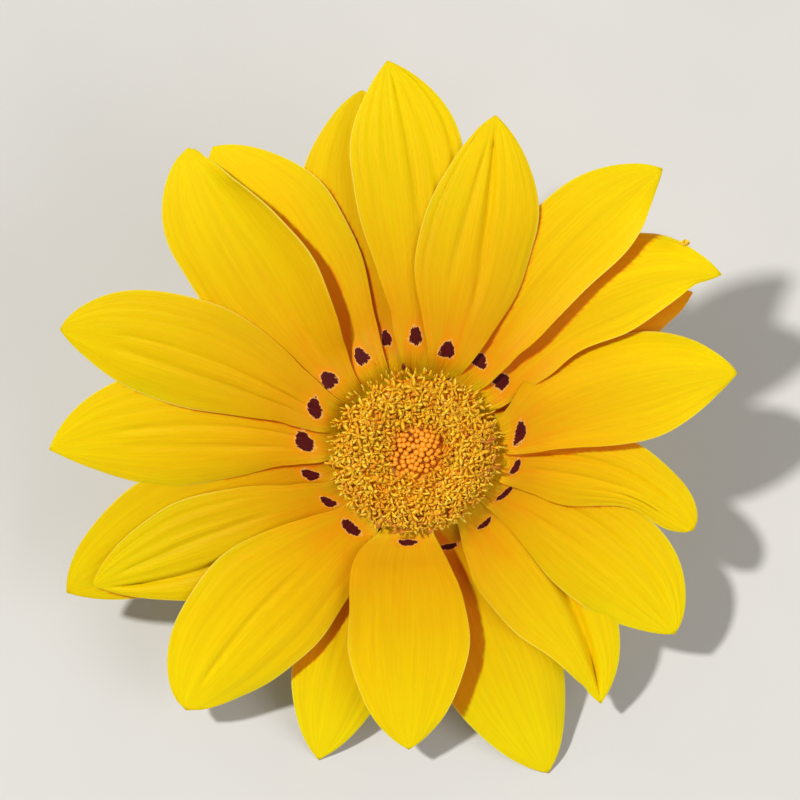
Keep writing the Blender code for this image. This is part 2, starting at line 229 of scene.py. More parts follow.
# Colours of a petal from the centre outwards, in UV_SPAN
PETAL_COLOURS = (
    (0.00, (0.72, 0.52, 0.010)),
    (0.20, (0.82, 0.52, 0.005)),
    (0.245, (0.71, 0.36, 0.002)),
    (0.30, (0.74, 0.36, 0.001)),
    (0.40, (0.79, 0.45, 0.001)),
    (0.60, (0.84, 0.57, 0.001)),
    (0.86, (0.89, 0.69, 0.001)),
)

# Colours of a floret by its tint: deep orange, palest lobe at 0.88, dark brown
# The deep orange low in the disc is partly the florets' own colour and partly painted shade between them;
# the palest lobe is partly a painted highlight on the tips.
FLORET_COLOURS = (
    (0.0, (0.40, 0.11, 0.002)),
    (0.25, (0.55, 0.17, 0.003)),
    (0.45, (0.76, 0.28, 0.003)),
    (0.65, (0.90, 0.45, 0.006)),
    (0.78, (0.96, 0.56, 0.015)),
    (0.88, (1.00, 0.73, 0.100)),
    (0.92, (0.70, 0.22, 0.02)),
    (1.0, (0.16, 0.015, 0.006)),
)

# Colours of a bud by its tint: dark in the gaps, a painted shade, then up to its tip
BUD_COLOURS = (
    (0.0, (0.20, 0.03, 0.002)),
    (0.35, (0.60, 0.14, 0.002)),
    (0.75, (0.82, 0.27, 0.003)),
    (1.0, (0.88, 0.36, 0.010)),
)

# Camera: its turn off the bloom's axis, its distance, and the frame's centre
# seen from the bloom's centre (millimetres right and up)
VIEW_UP, VIEW_LEFT = 16.0, 5.0
DISTANCE = 400.0
FRAME_SHIFT = (-1.54, 4.88)
LENS, SENSOR = 150.0, 36.0
KEY_LIGHT = (-0.45, 0.27, 1.0)  # right, up and towards the camera
FLOOR_HALF = 1500.0
FLOOR_DROP = 0.05  # keeps the floor just under the object


def leaned(points):
    """Points of the bloom's frame, placed over the surface, in millimetres."""
    turn = np.array(Matrix.Rotation(math.radians(LEAN), 3, "X"))
    return CENTRE + np.asarray(points, float) @ turn.T


def polar(radius, degrees):
    """Place in the bloom's plane at a distance and a bearing."""
    angle = math.radians(degrees)
    return np.array((radius * math.sin(angle), radius * math.cos(angle)))


def ramp(x, low, high):
    """Smooth rise from 0 at low to 1 at high."""
    share = np.clip((x - low) / (high - low), 0.0, 1.0)
    return share * share * (3.0 - 2.0 * share)


def unit(vectors):
    """The same directions, with length 1."""
    return vectors / np.linalg.norm(vectors, axis=-1, keepdims=True)


class Heap:
    """Gathers closed bodies and one tint per point, and makes one mesh of them."""

    def __init__(self):
        self.points, self.faces, self.tints, self.count = [], [], [], 0

    def add(self, points, faces, tints=0.0):
        points = np.asarray(points, float)
        tints = np.broadcast_to(np.asarray(tints, float), (len(points),))
        self.points.append(points)
        self.tints.append(tints)
        self.faces += [tuple(i + self.count for i in face) for face in faces]
        self.count += len(points)

    def build(self, name, node, material, placed=False):
        """Makes the piece; placed says that its points already lie over the surface."""
        points = np.concatenate(self.points)
        points = points if placed else leaned(points)
        thing = make_object(name, points, self.faces, material)
        layer = thing.data.attributes.new("tint", "FLOAT", "POINT")
        layer.data.foreach_set("value", np.concatenate(self.tints).astype(np.float32))
        enter(thing, node)
        return thing


def new_object(name, data):
    thing = bpy.data.objects.new(name, data)
    bpy.context.scene.collection.objects.link(thing)
    return thing


def make_object(name, points, faces, material):
    """A smooth mesh object; the points are in millimetres, over the surface."""
    mesh = bpy.data.meshes.new(name)
    mesh.from_pydata((np.asarray(points) * MM).tolist(), [], faces)
    mesh.shade_smooth()
    mesh.materials.append(material)
    return new_object(name, mesh)


def enter(thing, node):
    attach(thing, "root")
    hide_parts(node)


def ring_faces(rings, sides):
    """Faces of a tube of rings of the same number of points, ends filled."""
    faces = []
    for i in range(rings - 1):
        low, high = i * sides, (i + 1) * sides
        for k in range(sides):
            n = (k + 1) % sides
            faces.append((low + k, low + n, high + n, high + k))
    last = (rings - 1) * sides
    faces.append(tuple(reversed(range(sides))))
    faces.append(tuple(range(last, last + sides)))
    return faces


def frames_along(path, start_side):
    """Directions and two cross directions along a path, without twist."""
    way = unit(np.gradient(path, axis=0))
    side = np.empty_like(path)
    side[0] = start_side - way[0] * (start_side @ way[0])
    for i in range(1, len(path)):
        side[i] = side[i - 1] - way[i] * (side[i - 1] @ way[i])
    side = unit(side)
    return way, side, np.cross(way, side)


def sweep(path, wide, thick, start_side, sides):
    """Points of a swept body with an elliptical section that may change."""
    path = np.asarray(path, float)
    _, side, other = frames_along(path, np.asarray(start_side, float))
    wide = np.broadcast_to(wide, (len(path),))
    thick = np.broadcast_to(thick, (len(path),))
    turn = np.arange(sides) * 2 * math.pi / sides
    points = (
        path[:, None]
        + side[:, None] * (wide[:, None] * np.cos(turn))[..., None]
        + other[:, None] * (thick[:, None] * np.sin(turn))[..., None]
    )
    return points.reshape(-1, 3)


# Materials
class Nodes:
    """Short names for building a material's nodes."""

    def __init__(self, name):
        self.material = bpy.data.materials.new(name)
        self.material.use_nodes = True
        self.tree = self.material.node_tree
        self.shader = self.tree.nodes["Principled BSDF"]

    def put(self, target, value):
        """Links a socket to an input, or sets the input to a value."""
        if isinstance(value, bpy.types.NodeSocket):
            self.tree.links.new(value, target)
        elif value is not None:
            target.default_value = value

    def math(self, operation, a, b=None):
        node = self.tree.nodes.new("ShaderNodeMath")
        node.operation = operation
        self.put(node.inputs[0], a)
        self.put(node.inputs[1], b)
        return node.outputs[0]

    def times(self, a, b):
        return self.math("MULTIPLY", a, b)

    def mix(self, factor, a, b, blend="MIX"):
        node = self.tree.nodes.new("ShaderNodeMix")
        node.data_type, node.blend_type = "RGBA", blend
        self.put(node.inputs[0], factor)
        self.put(node.inputs[6], a)
        self.put(node.inputs[7], b)
        return node.outputs[2]

    def span(self, value, low, high, out_low=0.0, out_high=1.0):
        """A smooth step of a value, from out_low at low to out_high at high."""
        node = self.tree.nodes.new("ShaderNodeMapRange")
        node.interpolation_type = "SMOOTHSTEP"
        for socket, one in zip(node.inputs, (value, low, high, out_low, out_high)):
            self.put(socket, one)
        return node.outputs[0]

    def ramp(self, value, stops):
        """A colour ramp; each stop is a place and a colour."""
        node = self.tree.nodes.new("ShaderNodeValToRGB")
        self.put(node.inputs[0], value)
        line = node.color_ramp.elements
        while len(line) < len(stops):
            line.new(0.5)
        for one, (place, colour) in zip(line, stops):
            one.position, one.color = place, (*colour, 1.0)
        return node.outputs[0]

    def noise(self, vector, scale, detail=2.0, rough=0.5):
        node = self.tree.nodes.new("ShaderNodeTexNoise")
        self.put(node.inputs["Vector"], vector)
        node.inputs["Scale"].default_value = scale
        node.inputs["Detail"].default_value = detail
        node.inputs["Roughness"].default_value = rough
        return node.outputs["Fac"]

    def uv(self, name):
        """The two numbers of a UV map."""
        node = self.tree.nodes.new("ShaderNodeUVMap")
        node.uv_map = name
        part = self.tree.nodes.new("ShaderNodeSeparateXYZ")
        self.tree.links.new(node.outputs[0], part.inputs[0])
        return part.outputs[0], part.outputs[1]

    def attribute(self, name):
        node = self.tree.nodes.new("ShaderNodeAttribute")
        node.attribute_name = name
        return node.outputs["Fac"]

    def vector(self, x, y, z=0.0):
        node = self.tree.nodes.new("ShaderNodeCombineXYZ")
        for socket, value in zip(node.inputs, (x, y, z)):
            self.put(socket, value)
        return node.outputs[0]

    def place(self):
        """Position on the resting object, in millimetres."""
        node = self.tree.nodes.new("ShaderNodeTexCoord")
        scale = self.tree.nodes.new("ShaderNodeVectorMath")
        scale.operation = "SCALE"
        self.tree.links.new(node.outputs["Object"], scale.inputs[0])
        scale.inputs["Scale"].default_value = 1.0 / MM
        return scale.outputs[0]

    def soft(self, weight, radius, scale):
        """Light that passes beneath the surface."""
        for name, value in (("Weight", weight), ("Radius", radius), ("Scale", scale * MM)):
            self.shader.inputs["Subsurface " + name].default_value = value

    def finish(self, colour, roughness, height, bump_mm, strength, specular=0.5):
        """Fills in the shader's colour, roughness, bump and gloss."""
        self.put(self.shader.inputs["Base Color"], colour)
        self.put(self.shader.inputs["Roughness"], roughness)
        bump = self.tree.nodes.new("ShaderNodeBump")
        bump.inputs["Strength"].default_value = strength
        bump.inputs["Distance"].default_value = bump_mm * MM
        self.put(bump.inputs["Height"], height)
        self.tree.links.new(bump.outputs[0], self.shader.inputs["Normal"])
        self.shader.inputs["Specular IOR Level"].default_value = specular
        return self.material


def blade_colour(n, r, streak, hair_line, broad):
    """Yellow that turns orange towards the claw, with streaks and fine lines, and a painted shadow of
    deeper orange where a neighbouring petal shades it from the key light.
    """
    base = n.ramp(r, PETAL_COLOURS)
    red, green = n.span(streak, 0.25, 0.75, 0.95, 1.03), n.span(streak, 0.25, 0.75, 0.93, 1.03)
    colour = n.mix(1.0, base, n.vector(red, green, 1.0), "MULTIPLY")
    lines = n.times(n.span(hair_line, 0.50, 0.68), n.span(r, 0.24, 0.85, 0.30, 0.14))
    colour = n.mix(lines, colour, (0.72, 0.34, 0.001, 1))
    flame = n.times(n.span(broad, 0.46, 0.72), n.span(r, 0.25, 0.48, 0.6, 0.0))
    colour = n.mix(flame, colour, (0.78, 0.28, 0.001, 1))
    claw = n.times(n.span(r, 0.205, 0.262, 1.0, 0.0), n.span(hair_line, 0.50, 0.62, 0.0, 0.42))
    colour = n.mix(claw, colour, (0.20, 0.11, 0.006, 1))
    colour = n.mix(1.0, colour, n.vector(*(n.attribute("tone"),) * 3), "MULTIPLY")
    # painted shadow: deeper orange where a neighbouring petal casts its shadow in the key light
    painted_shade = n.mix(1.0, colour, (1.0, 0.55, 0.5, 1), "MULTIPLY")
    return n.mix(n.attribute("painted_shade"), colour, painted_shade)


def with_margin_and_back(n, u, v, r, streak, colour):
    """A pale margin, a painted highlight where the edges catch the light, and a duller back with a bronze
    stripe along its middle.
    """
    edge = n.math("ABSOLUTE", n.math("SUBTRACT", n.times(u, 2.0), 1.0))
    # painted highlight: a pale line along both edges, as where they catch the light
    margin = n.times(n.span(edge, 0.965, 1.0), n.span(r, 0.36, 0.60, 0.0, 0.28))
    colour = n.mix(margin, colour, (1.0, 0.82, 0.25, 1))
    stripe = n.times(n.span(edge, 0.10, 0.42, 0.55, 0.0), n.span(v, 0.80, 0.97, 1.0, 0.3))
    stripe = n.times(stripe, n.span(streak, 0.3, 0.6, 0.5, 1.0))
    rear = n.mix(stripe, colour, (0.30, 0.24, 0.02, 1))
    rear = n.mix(0.25, rear, (0.72, 0.62, 0.08, 1))
    return n.mix(n.attribute("back"), colour, rear)


def with_mark(n, x, r, seed, hair_line, colour):
    """The dark mark with its ragged outline, pale rim and orange surround."""
    mark_x, mark_y = n.uv("mark")  # units of the dark mark's half sizes
    bend = n.times(n.times(mark_x, mark_x), 0.35)
    mark_y = n.math("ADD", mark_y, n.math("SUBTRACT", bend, 0.12))
    away = n.math("SQRT", n.math("ADD", n.times(mark_x, mark_x), n.times(mark_y, mark_y)))
    ragged = n.noise(n.vector(n.times(x, 150.0), n.times(r, 70.0), seed), 1.0, 3.0, 0.7)
    away = n.math("ADD", away, n.times(n.math("SUBTRACT", ragged, 0.5), 1.25))
    colour = n.mix(n.span(away, 1.0, 2.7, 0.55, 0.0), colour, (0.78, 0.25, 0.001, 1))
    colour = n.mix(n.span(away, 1.06, 1.24, 0.8, 0.0), colour, (0.84, 0.46, 0.13, 1))
    dark = n.mix(n.span(hair_line, 0.35, 0.7), (0.055, 0.004, 0.004, 1), (0.110, 0.008, 0.007, 1))
    return n.mix(n.span(away, 0.98, 1.07, 1.0, 0.0), colour, dark)


def petal_material():
    """The face and the back of a petal, from its own coordinates."""
    n = Nodes("petal_yellow")
    u, v = n.uv("blade")  # 0 to 1 across and along
    x, r = n.uv("size")  # across and from the centre, in UV_SPAN
    seed = n.attribute("tint")
    streak = n.noise(n.vector(n.times(u, 34.0), n.times(v, 2.6), seed), 1.0, 3.0, 0.6)
    hair_line = n.noise(n.vector(n.times(u, 120.0), n.times(v, 5.0), seed), 1.0, 1.0)
    broad = n.noise(n.vector(n.times(u, 6.0), n.times(v, 2.2), seed), 1.0, 2.0)
    colour = blade_colour(n, r, streak, hair_line, broad)
    colour = with_margin_and_back(n, u, v, r, streak, colour)
    colour = with_mark(n, x, r, seed, hair_line, colour)
    height = n.math("ADD", n.times(streak, 0.8), n.times(hair_line, 0.5))
    n.soft(0.45, (1.0, 0.38, 0.02), 0.9)
    return n.finish(colour, n.span(streak, 0.3, 0.7, 0.50, 0.62), height, 0.04, 0.6, 0.06)


def floret_material():
    n = Nodes("floret_yellow")
    tint = n.attribute("tint")
    mottle = n.noise(n.place(), 1.1, 2.0)
    fine = n.noise(n.place(), 7.0, 2.0)
    colour = n.ramp(tint, FLORET_COLOURS)
    colour = n.mix(n.span(mottle, 0.50, 0.66, 0.0, 0.65), colour, (0.80, 0.27, 0.003, 1))
    n.soft(0.4, (1.0, 0.6, 0.05), 0.5)
    return n.finish(colour, 0.5, fine, 0.03, 0.6, 0.35)


def bud_material():
    n = Nodes("bud_orange")
    tint = n.attribute("tint")
    fine = n.noise(n.place(), 6.0, 2.0)
    colour = n.ramp(tint, BUD_COLOURS)
    colour = n.mix(n.span(fine, 0.4, 0.7, 0.0, 0.25), colour, (0.90, 0.42, 0.005, 1))
    n.soft(0.1, (1.0, 0.4, 0.05), 0.4)
    return n.finish(colour, 0.42, fine, 0.03, 0.5)


def green_material(name, light, dark):
    n = Nodes(name)
    tint = n.attribute("tint")
    place = n.place()
    cells = n.noise(place, 3.2, 3.0, 0.6)
    patch = n.noise(place, 0.35, 2.0)
    colour = n.mix(n.span(patch, 0.35, 0.65), dark, light)
    colour = n.mix(n.span(cells, 0.35, 0.7, 0.0, 0.35), colour, light)
    colour = n.mix(n.span(tint, 0.55, 1.0, 0.0, 0.8), colour, (0.46, 0.47, 0.16, 1))
    n.soft(0.06, (0.4, 0.8, 0.1), 0.6)
    return n.finish(colour, n.span(cells, 0.3, 0.7, 0.5, 0.68), cells, 0.06, 0.7, 0.35)


def hair_material():
    n = Nodes("pale_hair")
    fine = n.noise(n.place(), 4.0)
    colour = n.mix(n.span(fine, 0.4, 0.6), (0.55, 0.60, 0.36, 1), (0.72, 0.74, 0.52, 1))
    return n.finish(colour, 0.5, fine, 0.01, 0.3)


def pith_material():
    n = Nodes("pith")
    place = n.place()
    fine = n.noise(place, 5.0, 3.0, 0.7)
    colour = n.mix(n.span(fine, 0.35, 0.65), (0.42, 0.50, 0.22, 1), (0.66, 0.70, 0.44, 1))
    return n.finish(colour, 0.6, fine, 0.08, 0.8)


def towards_lamp(towards):
    """World direction of a lamp given by its place seen from the camera."""
    right, up, back = camera_axes()
    return unit(towards[0] * right + towards[1] * up + towards[2] * back)


# Ray petals
def face_height(radius):
    """Height of a petal's midline: out of the collar, over a hump, down."""
    hump = HUMP * np.exp(-(((radius - HUMP_AT) / HUMP_SPREAD) ** 2))
    dip = DIP * np.exp(-(((radius - PETAL_ROOT + DIP_BEFORE) / DIP_SPREAD) ** 2))
    slope = SLOPE * (radius - SLOPE_FROM)
    droop = DROOP * (np.maximum(radius - DROOP_FROM, 0.0) / DROOP_RUN) ** 2
    return hump - dip - slope - droop


def grooves(u, v, draw):
    """Soft furrows of uneven depth that run along a petal, 0 down to about -1."""
    total = np.zeros_like(u)
    for k in range(9):
        place = -0.80 + 0.2 * k + draw.uniform(-0.06, 0.06)
        deep, narrow = draw.uniform(0.15, 1.0), draw.uniform(0.04, 0.11)
        start, drift = draw.uniform(0.1, 0.5), draw.uniform(-0.05, 0.05)
        line = place + drift * np.sin(3.0 * v)
        total -= deep * ramp(v, start, start + 0.25) * np.exp(-(((u - line) / narrow) ** 2))
    return total


def petal_line(key, v):
    """A blade's midline in the bloom's plane, and the direction across it."""
    root, tip, bow, length = PETALS[key][:4]
    p0, p1 = polar(PETAL_ROOT, root), polar(0.34 * length, root)
    p2, p3 = polar(0.68 * length, root + 0.6 * (tip - root) + bow), polar(length, tip)
    w = 1.0 - v[..., None]
    t = v[..., None]
    mid = w**3 * p0 + 3 * t * w**2 * p1 + 3 * t**2 * w * p2 + t**3 * p3
    way = unit(w**2 * (p1 - p0) + 2 * t * w * (p2 - p1) + t**2 * (p3 - p2))
    return mid, np.stack((way[..., 1], -way[..., 0]), axis=-1)


def petal_width(key, v, radius, phase):
    """Half width of a blade, with a slight ripple, and of the claw at its root."""
    half, widest, blunt = PETALS[key][4:7]
    rise = 0.17 + 0.83 * np.sin(0.5 * np.pi * np.clip(v / widest, 0.0, 1.0)) ** 1.9
    fall = 1.0 - np.clip((v - widest) / (1.0 - widest), 0.0, 1.0) ** 1.9
    width = half * rise * np.maximum(fall, 0.0) ** blunt
    width = width * (1.0 + 0.012 * np.sin(23.0 * v + phase) * ramp(v, 0.2, 0.5))
    claw = CLAW_SPREAD * radius * (1.0 - ramp(radius, 14.0, 20.0))
    return (np.maximum(width, 0.12) ** 6 + claw**6) ** (1.0 / 6.0)


def with_bulges(key, u, v, share, aside):
    """Places across a blade, moved by the bulges of its edges."""
    for sign, amount, place in BULGES.get(key, ()):
        bulge = amount * np.exp(-(((v - place) / BULGE_SPREAD) ** 2)) * np.minimum(2.5 * share, 1.0)
        aside = aside + sign * np.maximum(sign * u, 0.0) * bulge
    return aside


def with_creases(key, u, v, share, height):
    """Heights of a blade, lowered along its creases."""
    for first, last, start, end, depth, narrow in CREASES.get(key, ()):
        line = first + (last - first) * (v - start) / (end - start)
        fade = ramp(v, start, start + 0.2) * (1.0 - ramp(v, end - 0.05, end + 0.03))
        fade = fade * np.minimum(share * 2.0, 1.0)
        height = height - depth * fade * np.exp(-(((u - line) / narrow) ** 2))
    return height


def edge_lift(key, u, v, share, radius):
    """Extra height of a blade's edges, which is the table's at the very edge."""
    low, high = EDGE_LIFT.get(key, (0.0, 0.0))
    raised = low * np.maximum(-u - 0.2, 0.0) ** 2 + high * np.maximum(u - 0.2, 0.0) ** 2
    raised = raised * (1.0 - ramp(v, 0.88, 0.98))
    return 1.56 * raised * np.minimum(share * 1.4, 1.0) * ramp(radius, 11.5, 18.0)


def petal_surface(key, u, v):
    """Middle surface of a petal with its width and its distance from the centre."""
    length, half = PETALS[key][3:5]
    layer, lift, camber, pleat = PETALS[key][7:]
    draw = random.Random(key)
    phase = [draw.uniform(0.0, 2 * math.pi) for _ in range(6)]
    mid, side = petal_line(key, v)
    radius = np.linalg.norm(mid, axis=-1)
    width = petal_width(key, v, radius, phase[0])
    share = width / half
    aside = with_bulges(key, u, v, share, u * width)
    flat = mid + side * aside[..., None]
    out = np.clip((radius - 20.0) / (length - 20.0), 0.0, 1.2)
    wide = ramp(radius, 14.0, 24.0) * share
    height = (
        face_height(radius)
        + LEVEL_STEP * layer * ramp(radius, 8.5, 14.5)
        + lift * out**2.5
        - camber * u * u * share * ramp(radius, 13.0, 24.0)
        + 0.5 * u * u * np.exp(-(((radius - 10.8) / 2.2) ** 2))
        + 0.9 * pleat * grooves(u, v, draw) * wide
        + 0.16 * np.sin(7.0 * v + phase[3]) * u * wide
        + 0.10 * np.sin(13.0 * v + phase[4]) * u * u * wide
        - SINK
    )
    height = height + edge_lift(key, u, v, share, radius)
    height = with_creases(key, u, v, share, height)
    if key == "t04":  # its edge stands up a little before the tip
        height = height + 1.0 * np.exp(-(((u + 0.9) / 0.25) ** 2) - ((v - 0.82) / 0.05) ** 2)
    return np.concatenate((flat, height[..., None]), axis=-1), aside, radius


def petal_grid():
    """Places u and v of a blade's points, closer together near its edges."""
    v = np.linspace(CLAW_START, 1.0, ALONG + 1)[:, None] * np.ones((1, ACROSS + 1))
    u = np.sin(np.linspace(-0.5, 0.5, ACROSS + 1) * np.pi * 0.9) / math.sin(0.45 * np.pi)
    return u[None, :] * np.ones((ALONG + 1, 1)), v


def covered(lower, upper):
    """1 where one blade lies in the shadow that another casts in the key light, lit only by the light that
    has come through it, else 0; it marks a painted shadow.
    """
    lit = np.array(Matrix.Rotation(math.radians(-LEAN), 3, "X")) @ towards_lamp(KEY_LIGHT)
    outline = np.concatenate((upper[:, 0], upper[-1, 1:-1], upper[::-1, -1], upper[0, -2:0:-1]))
    spots = lower.reshape(-1, 3)
    gap = np.linalg.norm(spots[:, None, :2] - outline[None, :, :2], axis=-1)
    rise = outline[np.argmin(gap, axis=1), 2] - spots[:, 2]
    x, y = (spots[:, :2] + lit[:2] / lit[2] * rise[:, None]).T
    x0, y0 = outline[:, 0], outline[:, 1]
    x1, y1 = np.roll(x0, -1), np.roll(y0, -1)
    spans = (y0 > y[:, None]) != (y1 > y[:, None])
    with np.errstate(divide="ignore", invalid="ignore"):
        crossing = x0 + (x1 - x0) * (y[:, None] - y0) / (y1 - y0)
    inside = (np.sum(spans & (x[:, None] < crossing), axis=1) % 2) == 1
    return (inside & (rise > 0.25)).astype(float)


def blade_faces(count):
    """Faces of a blade: its top, its bottom of as many points, and its rim."""
    wide = ACROSS + 1
    faces = []
    for i in range(ALONG):
        for k in range(ACROSS):
            a = i * wide + k
            faces.append((a, a + 1, a + 1 + wide, a + wide))
    faces += [tuple(count + j for j in reversed(face)) for face in faces]
    rim = list(range(wide))
    rim += [i * wide + ACROSS for i in range(1, ALONG + 1)]
    rim += [ALONG * wide + k for k in range(ACROSS - 1, -1, -1)]
    rim += [i * wide for i in range(ALONG - 1, 0, -1)]
    for j, p in enumerate(rim):
        q = rim[(j + 1) % len(rim)]
        faces.append((q, p, count + p, count + q))
    return faces


def put_maps(thing, key, u, v, across, radius):
    """Three UV maps of a petal. Only its face holds the dark mark."""
    aside, mark_wide, mark_long, mark_out, degrees = MARKS[key]
    turn = math.radians(degrees)
    dx, dy = across - aside, radius - mark_out
    dx, dy = dx * math.cos(turn) + dy * math.sin(turn), dy * math.cos(turn) - dx * math.sin(turn)
    maps = {
        "blade": np.stack((0.5 + 0.5 * u, v), axis=-1),
        "size": np.stack((across / UV_SPAN + 0.5, radius / UV_SPAN), axis=-1),
        "mark": np.stack((dx / mark_wide, dy / mark_long), axis=-1),
    }
    corners = np.empty(len(thing.data.loops), np.int32)
    thing.data.loops.foreach_get("vertex_index", corners)
    for label, values in maps.items():
        flat = np.tile(values.reshape(-1, 2), (2, 1))
        if label == "mark":
            flat[u.size :] += MARK_AWAY
        layer = thing.data.uv_layers.new(name=label)
        layer.data.foreach_set("uv", flat[corners].astype(np.float32).ravel())


def put_attributes(thing, number, key, middle):
    """A petal's seed and tone, the painted shadow where another shades its face from the key light, and
    what is its back.
    """
    count = middle[..., 0].size
    shade = np.zeros(count)
    keys = list(PETALS)
    for step in (-2, -1, 1, 2):
        other = keys[(number - 1 + step) % len(keys)]
        shade = np.maximum(shade, covered(middle, petal_surface(other, *petal_grid())[0]))
    painted_shade, back = np.zeros(2 * count), np.zeros(2 * count)
    # only the face carries the painted shadow; the back gets none
    painted_shade[:count], back[count:] = shade, 1.0
    seed, tone = np.full(2 * count, 0.37 * number), np.full(2 * count, TONES.get(key, 1.0))
    for label, value in {"tint": seed, "tone": tone, "painted_shade": painted_shade, "back": back}.items():
        layer = thing.data.attributes.new(label, "FLOAT", "POINT")
        layer.data.foreach_set("value", value.astype(np.float32))


def petal(number, name, key, material):
    """One closed blade, thin at its margins."""
    u, v = petal_grid()
    middle, across, radius = petal_surface(key, u, v)
    along_way, across_way = np.gradient(middle, axis=0), np.gradient(middle, axis=1)
    normal = unit(np.cross(across_way, along_way))
    normal *= np.where(normal[..., 2:] < 0, -1.0, 1.0)
    normal[-3:] = unit(normal[-4].mean(axis=0))  # the tip is too narrow for its own
    rim = 1.0 - ramp(np.abs(u), 0.75, 1.0) * (1.0 - EDGE_THICK / THICK)
    thick = 0.5 * THICK * rim[..., None]
    top = (middle + normal * thick).reshape(-1, 3)
    bottom = (middle - normal * thick).reshape(-1, 3)
    points = leaned(np.concatenate((top, bottom)))
    thing = make_object(name, points, blade_faces(len(top)), material)
    put_maps(thing, key, u, v, across, radius)
    put_attributes(thing, number, key, middle)
    enter(thing, "petals")


# Disc
def turned(profile, steps):
    """Points and faces of a solid of revolution; the profile ends on the axis."""
    rings = [p for p in profile if p[0] > 0.0]
    turn = np.arange(steps) * 2 * math.pi / steps
    points = [
        np.stack((r * np.sin(turn), r * np.cos(turn), np.full(steps, h)), axis=-1)
        for r, h in rings
    ]
    faces = [tuple(reversed(face)) for face in ring_faces(len(rings), steps)]
    return np.concatenate(points), faces


def lobe(heap, base, up, away, length, wide, start, curl, tint, deep=0.6):
    """A small lobe that bends from up towards away, by the angles start to curl.

    Its tint rises from the share deep at its base to the whole at its tip, so it is darker low down,
    partly a painted shade, and palest at its tip, partly a painted highlight.
    """
    steps = 5
    points, place = [np.array(base)], np.array(base, float)
    for i in range(steps):
        angle = start + (curl - start) * (i + 1) / steps
        place = place + (up * math.cos(angle) + away * math.sin(angle)) * length / steps
        points.append(place)
    share = np.linspace(0.0, 1.0, steps + 1)
    width = wide * (0.75 + 0.8 * share - 1.2 * share**3)
    body = sweep(points, width, 0.5 * width, np.cross(up, away), 4)
    heap.add(body, ring_faces(steps + 1, 4), np.repeat(tint * (deep + (1.0 - deep) * share), 4))


def floret(heap, foot, head, draw, brown, young):
    """Tube, five spreading lobes, an anther column and two stigma arms."""
    foot, head = np.asarray(foot, float), np.asarray(head, float)
    up = unit(head - foot + np.array([draw.uniform(-0.9, 0.9) for _ in range(3)]))
    across = unit(np.cross(up, (0.31, 0.17, 0.93)))
    other = np.cross(up, across)
    tube = [foot, foot + (head - foot) * 0.6, head]
    radii = np.array((0.24, 0.28, 0.40))
    body = sweep(tube, radii, radii, across, 6)
    # tube tints darker orange low down: partly the tube's colour, partly painted shade between the florets
    heap.add(body, ring_faces(3, 6), np.repeat((0.30, 0.42, 0.58), 6))
    spin = draw.uniform(0.0, 2 * math.pi)
    opening = draw.choice((65, 85, 100, 112))
    base_tint = draw.uniform(0.52, 0.72) if young or draw.random() < 0.15 else draw.uniform(0.78, 0.92)
    for k in range(5):
        angle = spin + k * 2 * math.pi / 5 + draw.uniform(-0.25, 0.25)
        away = across * math.cos(angle) + other * math.sin(angle)
        base = head + away * 0.22 - up * 0.10
        length, wide = draw.uniform(0.70, 1.20), draw.uniform(0.17, 0.26)
        curl = math.radians(opening + draw.uniform(-30, 45))
        tint = min(base_tint + draw.uniform(-0.10, 0.08), 0.88)
        lobe(heap, base, up, away, length, wide, math.radians(25), curl, tint, 0.75)
    rise = draw.uniform(0.2, 0.8)
    column = [head - up * 0.2, head + up * rise * 0.5, head + up * rise]
    radii = np.array((0.14, 0.16, 0.09))
    body = sweep(column, radii, radii, across, 5)
    heap.add(body, ring_faces(3, 5), np.repeat((0.45, 0.62, 0.97 if brown else 0.76), 5))
    for sign in (1.0, -1.0):
        away = (across * math.cos(spin) + other * math.sin(spin)) * sign
        top = head + up * rise * 0.9
        lobe(heap, top, up, away, 0.45, 0.09, 0.2, math.radians(115), 0.97 if brown else 0.84)


def open_florets(heap, draw):
    """The spiral of open florets, higher in the middle of its ring."""
    for i in range(FLORETS):
        share = (i + 0.5) / FLORETS
        out = math.sqrt(FLORETS_FROM**2 + (FLORETS_TO**2 - FLORETS_FROM**2) * share)
        degrees = math.degrees(i * GOLDEN_ANGLE) % 360.0
        turn = degrees + draw.uniform(-2.5, 2.5)
        height = 4.15 + 0.9 * math.sin(math.pi * min(share * 1.05, 1.0)) - 1.2 * share**4
        height += draw.uniform(-0.4, 0.3)
        foot = (*polar(3.9 + 3.4 * share, turn), 1.8 - 1.4 * share**2)
        head = np.array((*polar(out + draw.uniform(-0.2, 0.2), turn + draw.uniform(-2, 2)), height))
        head[1] -= 0.8 * share
        worn = 0.30 if 70 < degrees < 205 and share > 0.7 else 0.06
        floret(heap, foot, head, draw, draw.random() < worn, out < 4.3)


